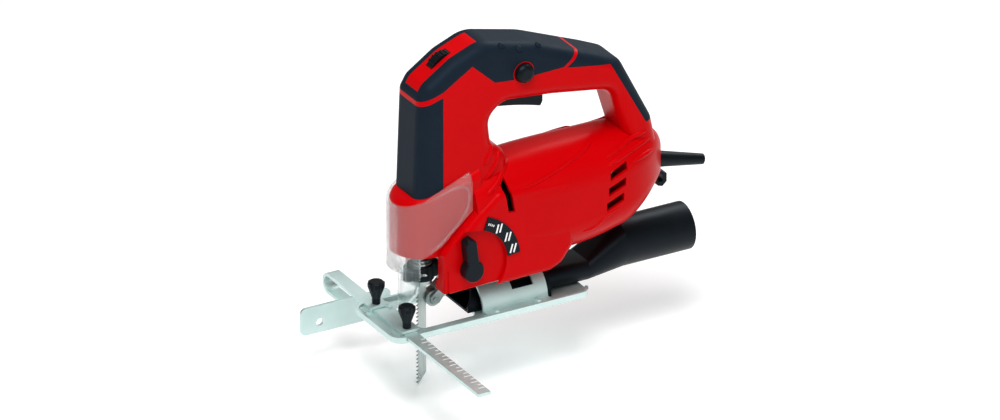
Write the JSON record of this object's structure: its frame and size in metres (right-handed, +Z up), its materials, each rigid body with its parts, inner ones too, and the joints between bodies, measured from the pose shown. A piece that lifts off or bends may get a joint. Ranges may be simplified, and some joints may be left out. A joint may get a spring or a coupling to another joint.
{
  "type": "jigsaw power tool",
  "caption": "Corded D-handle jigsaw with tilting steel sole, rip guide, pendulum blade drive, clear chip guard and rear dust socket.",
  "frame": {"origin": "where the blade's centre line crosses the underside of the sole", "axes": "+X to the rear of the tool, +Y to its right side, +Z up"},
  "size_m": [0.2882, 0.223, 0.2593],
  "materials": {
    "red_plastic": "satin moulded",
    "soft_grip": "matt overmould",
    "black_plastic": "matt moulded",
    "zinc_steel": "zinc plated",
    "tool_steel": "ground",
    "bronze": "sintered",
    "cast_alloy": "die cast",
    "laminated_steel": "stamped",
    "copper": "enamelled",
    "carbon": "pressed",
    "clear_plastic": "polished"
  },
  "bodies": {
    "base": {"base_plate": "zinc_steel", "bevel_saddle": "zinc_steel", "saddle_rivets": "zinc_steel", "guide_bridges": "zinc_steel"},
    "housing": {"housing_left": "red_plastic", "housing_right": "red_plastic", "housing_screws": "tool_steel", "front_grip_pad": "soft_grip", "rear_grip": "soft_grip", "top_grip": "soft_grip", "dial_strip": "red_plastic", "dial_axle": "tool_steel", "control_board": "black_plastic", "switch_block": "black_plastic", "cord_sleeve": "black_plastic", "key_hook": "black_plastic", "gear_case": "cast_alloy", "gear_axle": "tool_steel", "lower_bush": "bronze", "upper_bush": "bronze", "arm_pivot_pin": "tool_steel", "front_bearing": "tool_steel", "rear_bearing": "tool_steel", "stator_core": "laminated_steel", "field_coils": "copper", "brush_holders": "black_plastic", "carbon_brushes": "carbon", "selector_plate": "black_plastic", "bevel_clamp_plate": "zinc_steel", "bevel_screw": "tool_steel"},
    "plunger": {"plunger": "tool_steel", "clamp_body": "tool_steel", "clamp_collar": "tool_steel", "saw_blade": "tool_steel"},
    "blade_release": {"clamp_ring": "black_plastic"},
    "armature": {"armature_shaft": "tool_steel", "armature_core": "laminated_steel", "commutator": "copper", "fan": "black_plastic"},
    "gear": {"drive_gear": "tool_steel"},
    "pendulum": {"roller_arm": "tool_steel", "roller_pin": "tool_steel"},
    "roller": {"guide_roller": "tool_steel"},
    "trigger": {"trigger": "black_plastic"},
    "lock": {"lock_button": "black_plastic"},
    "dial": {"speed_dial": "black_plastic"},
    "selector": {"selector_lever": "black_plastic", "selector_shaft": "tool_steel"},
    "rip_guide": {"rip_guide": "zinc_steel"},
    "left_screw": {"thumb_screw_left": "black_plastic"},
    "right_screw": {"thumb_screw_right": "black_plastic"},
    "dust_adapter": {"dust_adapter": "black_plastic"},
    "guard": {"clear_guard": "clear_plastic"}
  },
  "joints": [
    {"name": "bevel_tilt", "type": "hinge", "parent": "base", "child": "housing", "pos_m": [0.064, 0, 0.002], "axis": [1, 0, 0], "range_deg": [-45, 45]},
    {"name": "plunger_stroke", "type": "slide", "parent": "housing", "child": "plunger", "axis": [0, 0, 1], "range_m": [-0.005, 0.013]},
    {"name": "blade_release_turn", "type": "hinge", "parent": "plunger", "child": "blade_release", "pos_m": [0, 0, 0.037], "axis": [0, 0, 1], "range_deg": [0, 70]},
    {"name": "armature_spin", "type": "hinge", "parent": "housing", "child": "armature", "pos_m": [0.08, 0, 0.078], "axis": [1, 0, 0], "continuous": true},
    {"name": "gear_spin", "type": "hinge", "parent": "housing", "child": "gear", "pos_m": [0.0145, 0, 0.099], "axis": [1, 0, 0], "continuous": true},
    {"name": "pendulum_swing", "type": "hinge", "parent": "housing", "child": "pendulum", "pos_m": [0.018, 0, 0.0635], "axis": [0, 1, 0], "range_deg": [-2.5, 0]},
    {"name": "roller_spin", "type": "hinge", "parent": "pendulum", "child": "roller", "pos_m": [0.0085, 0, 0.014], "axis": [0, 1, 0], "continuous": true},
    {"name": "trigger_press", "type": "slide", "parent": "housing", "child": "trigger", "axis": [0, 0, 1], "range_m": [0, 0.005], "stiffness_N_per_m": 600},
    {"name": "lock_press", "type": "slide", "parent": "housing", "child": "lock", "axis": [0, 1, 0], "range_m": [0, 0.003], "stiffness_N_per_m": 400},
    {"name": "dial_turn", "type": "hinge", "parent": "housing", "child": "dial", "pos_m": [0.0195, 0, 0.188], "axis": [0, 1, 0], "range_deg": [-135, 135]},
    {"name": "selector_turn", "type": "hinge", "parent": "housing", "child": "selector", "pos_m": [0.023, -0.03, 0.0455], "axis": [0, 1, 0], "range_deg": [0, 73]},
    {"name": "rip_guide_slide", "type": "slide", "parent": "base", "child": "rip_guide", "axis": [0, 1, 0], "range_m": [-0.03, 0.095]},
    {"name": "left_screw_turn", "type": "hinge", "parent": "base", "child": "left_screw", "pos_m": [-0.0235, -0.022, 0.015], "axis": [0, 0, 1], "range_deg": [0, 270]},
    {"name": "right_screw_turn", "type": "hinge", "parent": "base", "child": "right_screw", "pos_m": [-0.0235, 0.022, 0.015], "axis": [0, 0, 1], "range_deg": [0, 270]},
    {"name": "adapter_pull", "type": "slide", "parent": "base", "child": "dust_adapter", "axis": [1, 0, 0], "range_m": [0, 0.095]},
    {"name": "guard_pull", "type": "slide", "parent": "housing", "child": "guard", "axis": [-1, 0, 0], "range_m": [0, 0.045]}
  ],
  "couplings": [
    {"joint": "gear_spin", "follows": "armature_spin", "ratio": -0.16667}
  ]
}
